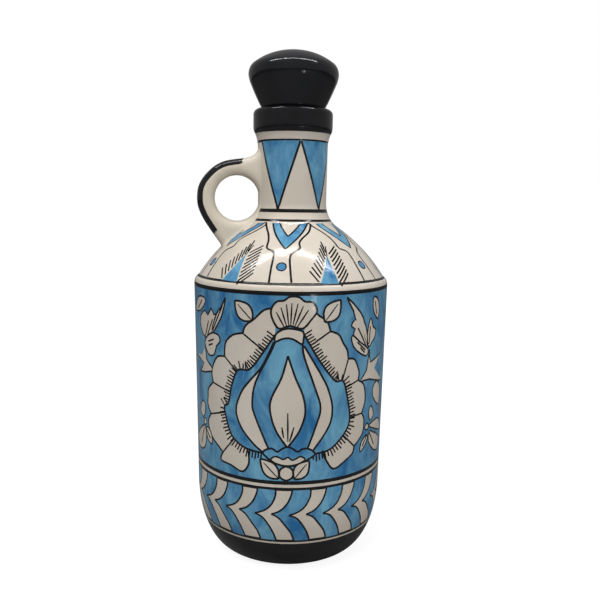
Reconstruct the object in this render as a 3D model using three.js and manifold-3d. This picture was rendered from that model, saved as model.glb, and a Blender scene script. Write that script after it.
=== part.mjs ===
// A stoneware jug with a finger loop at its neck and a glazed knob stopper on a cork.
// Units are millimetres and +Z is up. The origin is the middle of the foot, on the table.
// The painted front faces -Y, and the finger loop stands on the left of it, towards -X.
import * as THREE from "three";
import { mergeVertices } from "three/addons/utils/BufferGeometryUtils.js";
import Module from "manifold-3d";

const wasm = await Module();
wasm.setup();

// Clearances
const slipGap = 0.3; // between the loop and the jug, where slip joins the clay
const seatGap = 0.3; // between the knob's foot and the lip it rests on
const glueGap = 0.3; // around the cork in the knob's socket
const boreGap = 0.4; // between the cork and the mouth of the neck

// The jug's outside
const bodyRadius = 51.6; // at the shoulder's edge, the widest place
const wallTaper = 2.0; // how much narrower the wall is where the rounded foot begins
const bodyHeight = 145.5; // from the table to the shoulder's edge
const footRadius = 32.0; // outside of the flat ring it stands on
const footRise = 38.0; // height over which the wall rounds in to the foot
const shoulderEdge = 2.2; // rounding at the shoulder's edge
const shoulderRise = 32.5; // from the shoulder's edge to where the neck starts
const shoulderBulge = 3.6; // how far the shoulder is domed above a straight cone
const neckRadius = 18.1; // at its narrowest
const neckBlend = 7.0; // height of the curve that turns the shoulder into the neck
const neckHeight = 43.5; // from the shoulder to the underside of the lip
const lipRadius = 20.8;
const lipHeight = 12.5;
const lipFlare = 5.5; // height of the neck's flare below the lip
const lipRounding = 2.8;

// The jug's inside
const wall = 5.0;
const floorThickness = 7.0;
const boreRadius = 13.0; // mouth and neck
const mouthRounding = 1.4;
const footRingWidth = 6.0;
const footRecess = 1.6; // how far the middle of the underside stands off the table

// The finger loop
const fingerHole = 11.7; // radius of the hole for a finger
const strapThickness = 9.1; // from the hole to the loop's outside
const strapTop = 8.0; // thickness where the loop crosses over the finger
const strapWidth = 13.0; // across the loop, as a finger feels it
const strapRounding = 3.2; // on the strap's four long edges
const holeOverlap = 0.6; // how far the hole runs past the neck's skin
const loopRise = 9.9; // from the neck's root up to the middle of the finger hole
const loopTurn = 6; // degrees that the loop is set towards the painted front

// The stopper
const knobRadius = 23.5;
const knobHeight = 29.5;
const knobFootRadius = 16.9;
const knobWidestAt = 17.0; // height of the widest place above the knob's foot
const knobCrown = 7.2; // rise of the domed top above its rounded edge
const knobWall = 4.6;
const socketDepth = 11.5;
const corkRadius = boreRadius - boreGap; // where it enters the mouth
const corkTaper = 1.1; // how much narrower the cork's end is
const corkLength = 34.0;
const corkChamfer = 1.2;
const socketRadius = 12.2;

// How finely round things are faceted
const roundSides = 64;
const arcSteps = 6;

const ceramic = { white: 0xe6ddd0, black: 0x17181b };
const creamGlaze = new THREE.MeshStandardMaterial({ color: ceramic.white, roughness: 0.18 });
const blackGlaze = new THREE.MeshStandardMaterial({ color: ceramic.black, roughness: 0.12 });
const naturalCork = new THREE.MeshStandardMaterial({ color: 0xb98a58, roughness: 0.9 });

// Heights that follow from the sizes above
const neckFoot = bodyHeight + shoulderRise;
const lipUnderside = neckFoot + neckHeight;
const lipTop = lipUnderside + lipHeight;
const knobFoot = lipTop + seatGap;
const wallFootRadius = bodyRadius - wallTaper;

// Points (radius, height) along a curve, without its first point, which the outline already has.
function along(curve, steps) {
  return curve.getPoints(steps).slice(1);
}

// A quarter of an ellipse between two points that leaves the first one along the Z axis,
// or along the radius.
function quarter(from, to, leavesUpright, steps = arcSteps) {
  const points = [];
  for (let i = 1; i <= steps; i++) {
    const turn = (i / steps) * (Math.PI / 2);
    const quick = Math.sin(turn);
    const slow = 1 - Math.cos(turn);
    const across = leavesUpright ? slow : quick;
    const upright = leavesUpright ? quick : slow;
    points.push(new THREE.Vector2(
      from.x + (to.x - from.x) * across,
      from.y + (to.y - from.y) * upright,
    ));
  }
  return points;
}

const at = (radius, height) => new THREE.Vector2(radius, height);

// The outside of the jug from the foot's edge to the lip's top, grown outwards by `grow`.
function jugOutside(grow = 0) {
  const footEdge = at(footRadius + grow, -grow);
  const wallStart = at(wallFootRadius + grow, footRise);
  const belowEdge = at(bodyRadius + grow, bodyHeight - shoulderEdge);
  const edgeEnd = at(bodyRadius - shoulderEdge * 0.9 + grow, bodyHeight + shoulderEdge * 0.8 + grow);
  const neckStart = at(neckRadius + grow, neckFoot + neckBlend);
  const shoulderEnd = at(neckRadius + neckBlend * 0.75 + grow, neckFoot - neckBlend * 0.55 + grow);
  const dome = new THREE.QuadraticBezierCurve(
    edgeEnd,
    at((edgeEnd.x + shoulderEnd.x) / 2 + shoulderBulge * 0.7,
      (edgeEnd.y + shoulderEnd.y) / 2 + shoulderBulge * 0.9),
    shoulderEnd,
  );
  const intoNeck = new THREE.QuadraticBezierCurve(
    shoulderEnd,
    at(neckRadius + 0.6 + grow, neckFoot + grow),
    neckStart,
  );
  const flareStart = at(neckRadius + 0.3 + grow, lipUnderside - lipFlare);
  const lipStart = at(lipRadius - 0.5 + grow, lipUnderside + 0.8 - grow);
  const flare = new THREE.QuadraticBezierCurve(
    flareStart, at(neckRadius + 0.9 + grow, lipUnderside - 1.2 - grow), lipStart,
  );
  const lipSide = at(lipRadius + grow, lipUnderside + lipHeight * 0.35);
  const lipShoulder = at(lipRadius + grow, lipTop - lipRounding);
  const lipFlat = at(lipRadius - lipRounding + grow, lipTop + grow);
  return [
    footEdge,
    ...quarter(footEdge, wallStart, false, 2 * arcSteps),
    at((wallFootRadius + bodyRadius) / 2 + grow, (footRise + bodyHeight) / 2),
    belowEdge,
    ...quarter(belowEdge, edgeEnd, true, 4),
    ...along(dome, 8),
    ...along(intoNeck, arcSteps),
    flareStart,
    ...along(flare, arcSteps),
    lipSide,
    lipShoulder,
    ...quarter(lipShoulder, lipFlat, true),
  ];
}

// The inside of the jug from the mouth's edge down to the middle of the floor.
function jugInside() {
  const mouthEdge = at(boreRadius + mouthRounding, lipTop);
  const mouthEnd = at(boreRadius, lipTop - mouthRounding);
  const boreEnd = at(boreRadius, neckFoot + neckBlend * 0.4);
  const underShoulder = at(bodyRadius - wall, bodyHeight - shoulderEdge);
  const opening = new THREE.CubicBezierCurve(
    boreEnd,
    at(boreRadius, neckFoot - wall),
    at((boreRadius + bodyRadius) / 2 - wall * 0.4, bodyHeight + shoulderRise * 0.45),
    underShoulder,
  );
  const wallEnd = at(wallFootRadius - wall, footRise);
  const floorEdge = at(footRadius - wall, floorThickness);
  return [
    mouthEdge,
    ...quarter(mouthEdge, mouthEnd, false, 3),
    boreEnd,
    ...along(opening, 10),
    wallEnd,
    ...quarter(wallEnd, floorEdge, true, arcSteps),
    at(0, floorThickness),
  ];
}

// The recess in the underside, which leaves a flat ring to stand on.
function footUnderside() {
  const ringInside = footRadius - footRingWidth;
  return [at(0, footRecess), at(ringInside - footRecess, footRecess), at(ringInside, 0)];
}

function lathe(profile) {
  return new THREE.LatheGeometry(profile, roundSides);
}

// A closed three.js geometry as a manifold-3d solid, and back.
function solidOf(geometry) {
  const bare = geometry.clone();
  bare.deleteAttribute("normal");
  bare.deleteAttribute("uv");
  const merged = mergeVertices(bare, 1e-3);
  const corners = [];
  const found = merged.index.array;
  for (let i = 0; i < found.length; i += 3) {
    const [a, b, c] = found.slice(i, i + 3);
    const flat = a === b || b === c || c === a; // a pole's triangle with no width
    if (!flat) corners.push(a, b, c);
  }
  return new wasm.Manifold(new wasm.Mesh({
    numProp: 3,
    vertProperties: merged.attributes.position.array,
    triVerts: new Uint32Array(corners),
  }));
}

function geometryOf(solid) {
  const mesh = solid.getMesh();
  const geometry = new THREE.BufferGeometry();
  geometry.setAttribute("position", new THREE.BufferAttribute(mesh.vertProperties, 3));
  geometry.setIndex(new THREE.BufferAttribute(mesh.triVerts, 1));
  geometry.computeVertexNormals();
  return geometry;
}

// A lathe turns about its own Y axis, so each one is stood up to turn about +Z.
function upright(geometry) {
  return geometry.rotateX(Math.PI / 2);
}

function makeJugBody() {
  return upright(lathe([...footUnderside(), ...jugOutside(), ...jugInside()]));
}

// The finger loop, drawn in the plane through the jug's axis and cut back to the jug's skin.
function makeFingerLoop() {
  const holeMiddle = at(neckRadius + fingerHole - holeOverlap, neckFoot + loopRise);
  const reach = holeMiddle.x + fingerHole + strapThickness;
  const top = holeMiddle.y + fingerHole + strapTop;
  const lowerRoot = at(holeMiddle.x + 0.8 * fingerHole, neckFoot - fingerHole - 1.2);
  const deep = neckRadius * 0.45;
  const outline = new THREE.Shape();
  outline.moveTo(deep, top + 5.0);
  outline.lineTo(neckRadius, top + 5.0);
  outline.quadraticCurveTo(neckRadius + 1.5, top + 1.2, neckRadius + 7.0, top + 0.8);
  outline.bezierCurveTo(
    reach - 0.9 * fingerHole, top,
    reach, top - 0.35 * fingerHole,
    reach, holeMiddle.y + 0.2 * fingerHole,
  );
  outline.bezierCurveTo(
    reach, holeMiddle.y - 0.35 * fingerHole,
    reach - 0.6 * fingerHole, holeMiddle.y - 1.2 * fingerHole,
    lowerRoot.x, lowerRoot.y,
  );
  outline.lineTo(lowerRoot.x - fingerHole * 0.6, lowerRoot.y - fingerHole);
  outline.lineTo(deep, lowerRoot.y - fingerHole);
  const hole = new THREE.Path();
  hole.absellipse(holeMiddle.x, holeMiddle.y, fingerHole, fingerHole * 1.01, 0, 2 * Math.PI, false);
  outline.holes.push(hole);
  const strap = new THREE.ExtrudeGeometry(outline, {
    depth: strapWidth - 2 * strapRounding,
    bevelThickness: strapRounding,
    bevelSize: strapRounding,
    bevelOffset: -strapRounding,
    bevelSegments: 3,
    curveSegments: 12,
  });
  strap.translate(0, 0, strapRounding - strapWidth / 2);
  strap.rotateX(Math.PI / 2);
  strap.rotateZ(Math.PI + THREE.MathUtils.degToRad(loopTurn));
  const skin = [at(0, -slipGap), ...jugOutside(slipGap), at(0, lipTop + slipGap)];
  const cut = solidOf(strap).subtract(solidOf(upright(lathe(skin))));
  const pieces = cut.decompose();
  pieces.sort((a, b) => b.volume() - a.volume());
  return geometryOf(pieces[0]);
}

// A hollow knob: a flared waist, a rounded rim and a domed crown over a socket for the cork.
function makeKnob() {
  const widest = at(knobRadius, knobFoot + knobWidestAt);
  const flareEnd = at(knobRadius - 0.8, widest.y - 3.6);
  const crownTop = at(0, knobFoot + knobHeight);
  const crownStart = at(knobRadius - 2.0, crownTop.y - knobCrown);
  const rimLow = new THREE.QuadraticBezierCurve(flareEnd, at(knobRadius - 0.2, widest.y - 1.8), widest);
  const rimHigh = new THREE.QuadraticBezierCurve(
    widest, at(knobRadius, crownStart.y - 2.0), crownStart,
  );
  const crown = new THREE.QuadraticBezierCurve(crownStart, at(knobRadius * 0.53, crownTop.y), crownTop);
  const hollow = knobRadius - knobWall;
  const socketTop = knobFoot + socketDepth;
  const socket = socketRadius + glueGap;
  return upright(lathe([
    at(0, crownTop.y - knobWall),
    at(hollow * 0.6, crownTop.y - knobWall - 1.6),
    at(hollow - 1.5, crownStart.y - knobWall * 0.4),
    at(hollow, widest.y),
    at(socket + 1.2, socketTop),
    at(socket, socketTop),
    at(socket, knobFoot),
    at(knobFootRadius - 0.8, knobFoot),
    at(knobFootRadius, knobFoot + 0.8),
    flareEnd,
    ...along(rimLow, 4),
    ...along(rimHigh, arcSteps),
    ...along(crown, 8),
  ]));
}

function makeCork() {
  const top = knobFoot + socketDepth - glueGap;
  const end = top - corkLength;
  const endRadius = corkRadius - corkTaper;
  return upright(lathe([
    at(0, end),
    at(endRadius - corkChamfer, end),
    at(endRadius, end + corkChamfer),
    at(corkRadius, lipTop - seatGap),
    at(socketRadius, lipTop),
    at(socketRadius, top),
    at(0, top),
  ]));
}

const jug = new THREE.Group();

function addPiece(name, geometry, material) {
  const mesh = new THREE.Mesh(geometry, material);
  mesh.name = name;
  jug.add(mesh);
}

addPiece("jug_body", makeJugBody(), creamGlaze);
addPiece("finger_loop", makeFingerLoop(), creamGlaze);
addPiece("stopper_knob", makeKnob(), blackGlaze);
addPiece("stopper_cork", makeCork(), naturalCork);

export default jug;
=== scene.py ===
# %% [markdown]
# # A painted ceramic jug
# The jug is one glazed shell with a finger loop and a stopper. Its look comes from brush
# painting: black lines and watery blue on cream. Here the painting is cut into the surface
# itself, as regions of a fine mesh, so that every line stays sharp from any distance.

# %% Load the frame
import math

import bpy
from mathutils import Matrix, Vector
from mathutils.geometry import delaunay_2d_cdt


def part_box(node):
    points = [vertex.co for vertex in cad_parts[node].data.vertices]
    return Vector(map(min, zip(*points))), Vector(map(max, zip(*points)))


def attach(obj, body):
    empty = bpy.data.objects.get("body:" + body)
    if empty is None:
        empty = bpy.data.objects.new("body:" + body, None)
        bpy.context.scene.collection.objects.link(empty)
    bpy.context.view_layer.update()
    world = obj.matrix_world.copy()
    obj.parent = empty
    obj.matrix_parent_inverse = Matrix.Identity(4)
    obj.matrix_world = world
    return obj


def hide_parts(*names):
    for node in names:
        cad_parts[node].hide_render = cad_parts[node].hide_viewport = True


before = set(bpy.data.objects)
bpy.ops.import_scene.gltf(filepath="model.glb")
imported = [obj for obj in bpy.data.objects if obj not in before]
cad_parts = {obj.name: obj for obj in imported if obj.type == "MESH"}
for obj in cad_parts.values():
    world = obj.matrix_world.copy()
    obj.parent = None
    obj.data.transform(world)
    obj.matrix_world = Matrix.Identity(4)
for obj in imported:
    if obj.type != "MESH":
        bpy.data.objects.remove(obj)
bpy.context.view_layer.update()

MM = 0.001

# %% [markdown]
# ## Camera
# The photograph was taken close to the jug, a little above its middle and looking down.
# The same camera also places the painting: a point seen in the photograph is sent along
# its ray until it meets the jug.

# %% Set up the camera
PICTURE = 600  # pixels on each side of the photograph
FOCAL_PIXELS = 716.9
SENSOR = 36.0
EYE = Vector((5.0, -384.7, 185.1))  # millimetres
LOOK_DOWN = math.radians(7.6)
ROLL = math.radians(0.86)

camera_turn = Matrix.Rotation(math.pi / 2 - LOOK_DOWN, 3, "X") @ Matrix.Rotation(ROLL, 3, "Z")
camera_data = bpy.data.cameras.new("camera")
camera_data.sensor_width = SENSOR
camera_data.lens = SENSOR * FOCAL_PIXELS / PICTURE
camera_data.clip_start = 0.01
camera = bpy.data.objects.new("camera", camera_data)
camera.matrix_world = Matrix.Translation(EYE * MM) @ camera_turn.to_4x4()
bpy.context.scene.collection.objects.link(camera)
bpy.context.scene.camera = camera
print("lens", round(camera_data.lens, 1), "mm")

# %% [markdown]
# ## The jug's outline
# A potter throws the jug on a wheel, so half of its section says everything. The outline
# runs from the foot to the lip in millimetres, and the painting is laid out on it by angle
# and by the distance along it.

# %% Draw the outline
BODY_RADIUS = 51.6
FOOT_RADIUS = 32.0
LIP_RADIUS = 20.8
LIP_TOP = 234.0
NECK_RADIUS = 18.1
MOUTH_RADIUS = 13.0
WALL = 5.0


def bow(start, pull, end, steps):
    """Points on a curve that leaves start towards pull and arrives at end."""
    points = []
    for i in range(1, steps + 1):
        t = i / steps
        points.append(tuple(
            (1 - t) ** 2 * a + 2 * t * (1 - t) * b + t * t * c for a, b, c in zip(start, pull, end)
        ))
    return points


def quarter(start, end, upright, steps):
    """A quarter of an ellipse that leaves start upright, or else along the radius."""
    points = []
    for i in range(1, steps + 1):
        turn = i / steps * math.pi / 2
        quick, slow = math.sin(turn), 1 - math.cos(turn)
        across, up = (slow, quick) if upright else (quick, slow)
        points.append((start[0] + (end[0] - start[0]) * across, start[1] + (end[1] - start[1]) * up))
    return points


WALL_START = (49.6, 38.0)
BELOW_EDGE = (BODY_RADIUS, 143.3)
EDGE_END = (49.62, 147.26)
SHOULDER_END = (23.35, 174.15)
NECK_START = (NECK_RADIUS, 185.0)
FLARE_START = (18.4, 216.0)
LIP_START = (20.3, 222.3)
LIP_SHOULDER = (LIP_RADIUS, 231.2)
LIP_FLAT = (18.0, LIP_TOP)

outline = [(FOOT_RADIUS, 0.0)]
outline += quarter(outline[0], WALL_START, False, 28)
outline += [BELOW_EDGE]
outline += quarter(BELOW_EDGE, EDGE_END, True, 6)
outline += bow(EDGE_END, (39.0, 163.95), SHOULDER_END, 24)
outline += bow(SHOULDER_END, (18.7, 178.0), NECK_START, 12)
outline += [FLARE_START]
outline += bow(FLARE_START, (19.0, 220.3), LIP_START, 8)
outline += bow(LIP_START, (LIP_RADIUS, 223.0), (LIP_RADIUS, 225.9), 4)
outline += [LIP_SHOULDER]
outline += quarter(LIP_SHOULDER, LIP_FLAT, True, 8)

lengths = [0.0]
for before, after in zip(outline, outline[1:]):
    lengths.append(lengths[-1] + math.dist(before, after))
print("outline", len(outline), "points,", round(lengths[-1], 1), "mm long")

# %% Measure along the outline


def between(value, marks, values):
    """The value at a mark, on straight stretches between the marks, which rise."""
    low, high = 0, len(marks) - 1
    while high - low > 1:
        middle = (low + high) // 2
        if marks[middle] <= value:
            low = middle
        else:
            high = middle
    share = (value - marks[low]) / (marks[high] - marks[low])
    share = min(1.0, max(0.0, share))
    return values[low] + (values[high] - values[low]) * share


radii = [p[0] for p in outline]
heights = [p[1] for p in outline]


def along_at(height):
    return between(height, heights, lengths)


def radius_at(along):
    return between(along, lengths, radii)


def height_at(along):
    return between(along, lengths, heights)


# Across the painting, one unit is a millimetre on the belly.
UNIT = BODY_RADIUS * math.pi / 180


def place(across, along):
    """The point on the jug, in millimetres, of a point in the painting."""
    angle = math.radians(across / UNIT)
    radius = radius_at(along)
    return Vector((radius * math.sin(angle), -radius * math.cos(angle), height_at(along)))


def facing(across, along):
    """The direction that the surface faces at a point in the painting."""
    step = 0.4
    low, high = max(0.0, along - step), min(lengths[-1], along + step)
    rise, spread = height_at(high) - height_at(low), radius_at(high) - radius_at(low)
    angle = math.radians(across / UNIT)
    return Vector((rise * math.sin(angle), -rise * math.cos(angle), -spread)).normalized()


print("one degree is", round(UNIT, 2), "mm on the belly")

# %% Follow the photograph's rays to the jug

# A ray is followed from just before the jug to behind its axis, in millimetres.
RAY_START, RAY_END = 325.0, 400.0
FIRST_STEP, LAST_STEP = 1.0, 0.02


def seen(pixels):
    """Where points of the photograph lie in the painting."""
    found = []
    for px, py in pixels:
        right, up = (px - PICTURE / 2) / FOCAL_PIXELS, (PICTURE / 2 - py) / FOCAL_PIXELS
        ray = camera_turn @ Vector((right, up, -1.0))
        best = (1e9, 0.0)
        step, reach = FIRST_STEP, RAY_START
        while reach < RAY_END:
            point = EYE + ray * reach
            height = min(max(point.z, 0.0), LIP_TOP)
            miss = math.hypot(point.x, point.y) - radius_at(along_at(height))
            if miss < best[0]:
                best = (miss, reach)
            if miss <= 0:
                if step < LAST_STEP:
                    break
                reach -= step
                step /= 4
            reach += step
        point = EYE + ray * best[1]
        angle = math.degrees(math.atan2(point.x, -point.y))
        found.append((angle * UNIT, along_at(min(max(point.z, 0.0), LIP_TOP))))
    return found


# %% [markdown]
# ## The painting
# Each brush mark is an outline in the painting's plane, and later marks cover earlier
# ones. All marks are then cut together into one mesh, in which every face belongs to
# the uppermost mark that covers it. Points of the photograph are in its 600 by 600 frame.

# %% Helpers for brush marks
LINE = 1.05  # width of an ordinary brush line
FINE = 0.7
marks = []


def smooth(points, closed=False, steps=4):
    """A soft curve through the points."""
    count = len(points)
    result = []
    spans = count if closed else count - 1
    for i in range(spans):
        if closed:
            a, b, c, d = (points[(i + k) % count] for k in (-1, 0, 1, 2))
        else:
            a, b = points[max(0, i - 1)], points[i]
            c, d = points[i + 1], points[min(count - 1, i + 2)]
        for k in range(steps):
            t = k / steps
            result.append(tuple(
                0.5 * (2 * q + (r - p) * t + (2 * p - 5 * q + 4 * r - s) * t * t
                       + (3 * q - p - 3 * r + s) * t ** 3)
                for p, q, r, s in zip(a, b, c, d)
            ))
    if not closed:
        result.append(points[-1])
    return result


def fill(colour, points):
    marks.append((colour, points))


def stroke(points, width=LINE, taper=False):
    """A brush line, as an outline of that width in millimetres on the jug."""
    left, right = [], []
    last = len(points) - 1
    for i, (x, y) in enumerate(points):
        before, after = points[max(0, i - 1)], points[min(last, i + 1)]
        stretch = radius_at(min(max(y, 0.0), lengths[-1])) / BODY_RADIUS
        dx, dy = (after[0] - before[0]) * stretch, after[1] - before[1]
        size = math.hypot(dx, dy) or 1.0
        half = width / 2
        if taper:
            half *= 0.35 + 0.65 * math.sin(math.pi * (0.12 + 0.76 * (1 - i / last)))
        nx, ny = -dy / size * half / stretch, dx / size * half
        left.append((x + nx, y + ny))
        right.append((x - nx, y - ny))
    marks.append(("black", left + right[::-1]))


def ring(points, width=LINE):
    """A closed brush line, drawn as two strokes."""
    half = len(points) // 2
    stroke(points[:half + 1], width)
    stroke(points[half:] + points[:1], width)


def shape(colour, points, width=LINE, steps=4):
    """A filled soft shape with a brush line round it."""
    curve = smooth(points, True, steps)
    fill(colour, curve)
    ring(curve, width)


def band(colour, low, high):
    """A ring round the whole jug between two heights."""
    edge = 183 * UNIT  # a little past the seam at the back
    low, high = along_at(low), along_at(high)
    fill(colour, [(-edge, low), (edge, low), (edge, high), (-edge, high)])


def line(height, width):
    band("black", height - width / 2, height + width / 2)


def mix(a, b, share):
    return (a[0] + (b[0] - a[0]) * share, a[1] + (b[1] - a[1]) * share)


def leaf(base, tip, width, veins=0):
    """A pointed leaf with a midrib, and side veins where asked."""
    dx, dy = tip[0] - base[0], tip[1] - base[1]
    size = math.hypot(dx, dy)
    nx, ny = -dy / size * width / 2, dx / size * width / 2
    sides = [(0.0, 0.0), (0.22, 0.75), (0.5, 1.0), (0.78, 0.6), (1.0, 0.0)]
    one = smooth([(base[0] + dx * t + nx * w, base[1] + dy * t + ny * w) for t, w in sides])
    two = smooth([(base[0] + dx * t - nx * w, base[1] + dy * t - ny * w) for t, w in sides])
    fill("cream", one + two[-2:0:-1])
    stroke(one)
    stroke(two)
    stroke([mix(base, tip, 0.02 + 0.2 * i) for i in range(5)], FINE, True)
    for i in range(veins):
        at = 0.25 + 0.5 * i / max(1, veins - 1)
        for side in (-1, 1):
            start = mix(base, tip, at)
            end = mix(base, tip, at + 0.13)
            stroke([start, (end[0] + side * nx * 0.5, end[1] + side * ny * 0.5)], FINE)


def moved(points, across):
    return [(x + across, y) for x, y in points]


def repeated(count, first, draw):
    """Draws a motif again at even steps round the jug."""
    for i in range(count):
        start = len(marks)
        draw()
        shift = i * 360 / count * UNIT + first
        for k in range(start, len(marks)):
            colour, points = marks[k]
            points = moved(points, shift)
            middle = sum(p[0] for p in points) / len(points)
            if middle > 180 * UNIT:
                points = moved(points, -360 * UNIT)
            marks[k] = (colour, points)
            if max(p[0] for p in points) > 180 * UNIT:
                marks.append((colour, moved(points, -360 * UNIT)))
            if min(p[0] for p in points) < -180 * UNIT:
                marks.append((colour, moved(points, 360 * UNIT)))


# %% Rings round the jug
BASE_TOP = 17.3  # heights in millimetres
BELLY_LOW, BELLY_HIGH = 50.4, 143.2
COLLAR_LOW = 221.3
RINGS = [
    # height, width
    (19.1, 1.6), (46.9, 1.7), (50.2, 1.9), (143.5, 2.0), (147.7, 1.1), (176.9, 1.2), (181.8, 1.8),
    (217.0, 1.3),
]
band("black", 0.0, BASE_TOP)
band("blue", BELLY_LOW, BELLY_HIGH)
for ring_height, ring_width in RINGS:
    line(ring_height, ring_width)
band("black", COLLAR_LOW, LIP_TOP)
print("rings", len(marks))

# %% Chevrons above the foot
CHEVRON_LEFT = [
    (292.3, 490.8), (290.8, 496.5), (286.6, 504.2), (279.6, 510.5), (271.2, 514.0),
    (278.2, 517.5), (284.5, 524.5), (290.8, 533.0), (293.4, 540.0),
]
CHEVRON_RIGHT = [
    (310.8, 490.8), (309.8, 495.8), (305.6, 504.9), (298.6, 511.2), (288.7, 515.1),
    (296.5, 518.2), (302.8, 525.2), (307.0, 533.0), (308.8, 540.0),
]
CHEVRON_TIP = 4  # the tip's place in each list
CHEVRON_TOP, CHEVRON_LOW = 46.4, 19.4  # under the ring above, and over the ring below
CHEVRON_LINE = 0.95
CHEVRONS = 18
chevron_edges = []
for pixels in (CHEVRON_LEFT, CHEVRON_RIGHT):
    edge = seen(pixels)
    edge[0] = (edge[0][0], along_at(CHEVRON_TOP))
    edge[-1] = (edge[-1][0], along_at(CHEVRON_LOW))
    chevron_edges.append((smooth(edge[:CHEVRON_TIP + 1], steps=3), smooth(edge[CHEVRON_TIP:], steps=3)))


def draw_chevron():
    (left_up, left_down), (right_up, right_down) = chevron_edges
    fill("blue", left_up + left_down[1:] + right_down[::-1] + right_up[-2::-1])
    for arm in (left_up, left_down, right_up, right_down):
        stroke(arm, CHEVRON_LINE)


repeated(CHEVRONS, 0.0, draw_chevron)
print("marks with chevrons", len(marks))

# %% Triangles round the neck
NECK_APEX = -22.5 * UNIT
TRIANGLE_HALF = 35.4 * UNIT
TRIANGLE_PITCH = 72 * UNIT
TRIANGLE_LINE = 1.15
top_line, low_line = along_at(216.8), along_at(182.4)
for i in range(4):
    apex = (NECK_APEX + i * TRIANGLE_PITCH, low_line)
    for shift in (0.0, -360 * UNIT):
        corner = [(apex[0] - TRIANGLE_HALF + shift, top_line), (apex[0] + shift, apex[1]),
                  (apex[0] + TRIANGLE_HALF + shift, top_line)]
        if corner[0][0] > 180 * UNIT or corner[2][0] < -180 * UNIT:
            continue
        fill("blue", corner)
        for start, end in zip(corner, corner[1:]):
            stroke([mix(start, end, k / 8) for k in range(9)], TRIANGLE_LINE)
print("marks with the neck", len(marks))

# %% Pilasters and flame leaves on the shoulder
PILASTER_LEFT = [
    (267.0, 222.0), (268.8, 232.0), (269.0, 240.0), (267.7, 247.7), (273.3, 251.5), (273.6, 257.0),
    (271.5, 268.0), (269.0, 282.8),
]
PILASTER_RIGHT = [
    (310.5, 224.0), (309.0, 231.6), (302.5, 238.0), (299.3, 243.0), (299.8, 248.4), (292.5, 253.0),
    (290.0, 258.0), (290.2, 268.0), (291.5, 282.8),
]
SHOULDER_V = [(273.3, 223.0), (285.2, 249.1), (307.0, 223.0), (299.3, 224.0), (288.0, 236.5), (280.3, 223.0)]
SHOULDER_DOT = (281.7, 266.6)
FLAME = [(320.5, 283.5), (326.2, 255.4), (338.3, 283.5)]
FLAME_SPIKE = [(326.2, 256.5), (324.5, 246.0)]
FLAME_STROKES_LEFT = [[(319.0, 282.0), (309.5, 271.0)], [(325.2, 252.5), (320.3, 241.5)]]
FLAME_STROKES_RIGHT = [[(341.0, 286.0), (347.0, 273.0)], [(328.5, 254.0), (333.3, 246.0)]]
FLAME_STROKES = 9
FLAME_LINE, SPIKE_LINE, V_LINE = 0.85, 1.0, 0.9
PILASTERS = 6
pilaster_left, pilaster_right = smooth(seen(PILASTER_LEFT)), smooth(seen(PILASTER_RIGHT))
shoulder_v, flame, spike = seen(SHOULDER_V), seen(FLAME), seen(FLAME_SPIKE)
flame_strokes_left = [seen(pair) for pair in FLAME_STROKES_LEFT]
flame_strokes_right = [seen(pair) for pair in FLAME_STROKES_RIGHT]
dot_middle = seen([SHOULDER_DOT])[0]
DOT_RADIUS = 2.3


def circle(middle, radius, sides=16):
    stretch = radius_at(middle[1]) / BODY_RADIUS
    return [
        (middle[0] + radius / stretch * math.cos(2 * math.pi * i / sides),
         middle[1] + radius * math.sin(2 * math.pi * i / sides)) for i in range(sides)
    ]


def draw_shoulder():
    fill("blue", shoulder_v)
    for side in (shoulder_v[:2], shoulder_v[1:3], shoulder_v[3:5], shoulder_v[4:]):
        stroke(side, V_LINE)
    stroke(pilaster_left)
    stroke(pilaster_right)
    fill("blue", circle(dot_middle, DOT_RADIUS))
    ring(circle(dot_middle, DOT_RADIUS), FINE)
    fill("blue", flame)
    stroke(spike, SPIKE_LINE, True)
    for first, last in (flame_strokes_left, flame_strokes_right):
        for i in range(FLAME_STROKES):
            share = i / (FLAME_STROKES - 1)
            stroke([mix(first[0], last[0], share), mix(first[1], last[1], share)], FLAME_LINE)


repeated(PILASTERS, 0.0, draw_shoulder)
print("marks with the shoulder", len(marks))

# %% [markdown]
# ## The medallion
# The front holds a drop-shaped flower in a wreath of scalloped petals, and the back
# repeats it. The petals are one cream shape on each side, parted by lines that run from
# the notches between the scallops, with fine hatching at their roots.

# %% The wreath of petals
WREATH_LEFT = [
    [(276.0, 311.0), (270.0, 308.5), (262.8, 311.0), (255.0, 318.5), (246.0, 325.5), (243.0, 333.0)],
    [(243.0, 333.0), (233.3, 334.7), (227.0, 341.0), (224.9, 348.7), (225.6, 356.0)],
    [(225.6, 356.0), (217.9, 356.4), (213.5, 364.0), (212.3, 372.6), (214.0, 382.0)],
    [(214.0, 382.0), (209.5, 388.0), (208.4, 396.0), (208.8, 404.0), (211.2, 413.5)],
    [(211.2, 413.5), (209.0, 421.0), (211.5, 434.0), (219.3, 446.0), (223.0, 452.0)],
    [(223.0, 452.0), (222.0, 459.0), (231.9, 464.5), (243.0, 471.0), (249.5, 463.0), (248.8, 450.0)],
]
WREATH_RIGHT = [
    [(309.0, 313.0), (314.0, 311.5), (319.5, 316.0), (327.3, 321.5), (330.0, 331.0)],
    [(330.0, 331.0), (338.6, 334.7), (342.8, 343.0), (346.5, 350.0), (347.7, 358.6)],
    [(347.7, 358.6), (354.0, 359.0), (357.0, 365.0), (358.2, 372.6), (357.5, 380.0)],
    [(357.5, 380.0), (363.0, 383.5), (364.5, 391.0), (364.5, 401.0), (361.5, 413.0)],
    [(361.5, 413.0), (363.8, 419.0), (362.0, 431.0), (358.2, 440.0), (354.0, 446.0)],
    [(354.0, 446.0), (352.0, 453.0), (345.6, 459.6), (333.0, 468.4), (325.9, 460.0), (321.7, 450.0)],
]
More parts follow.
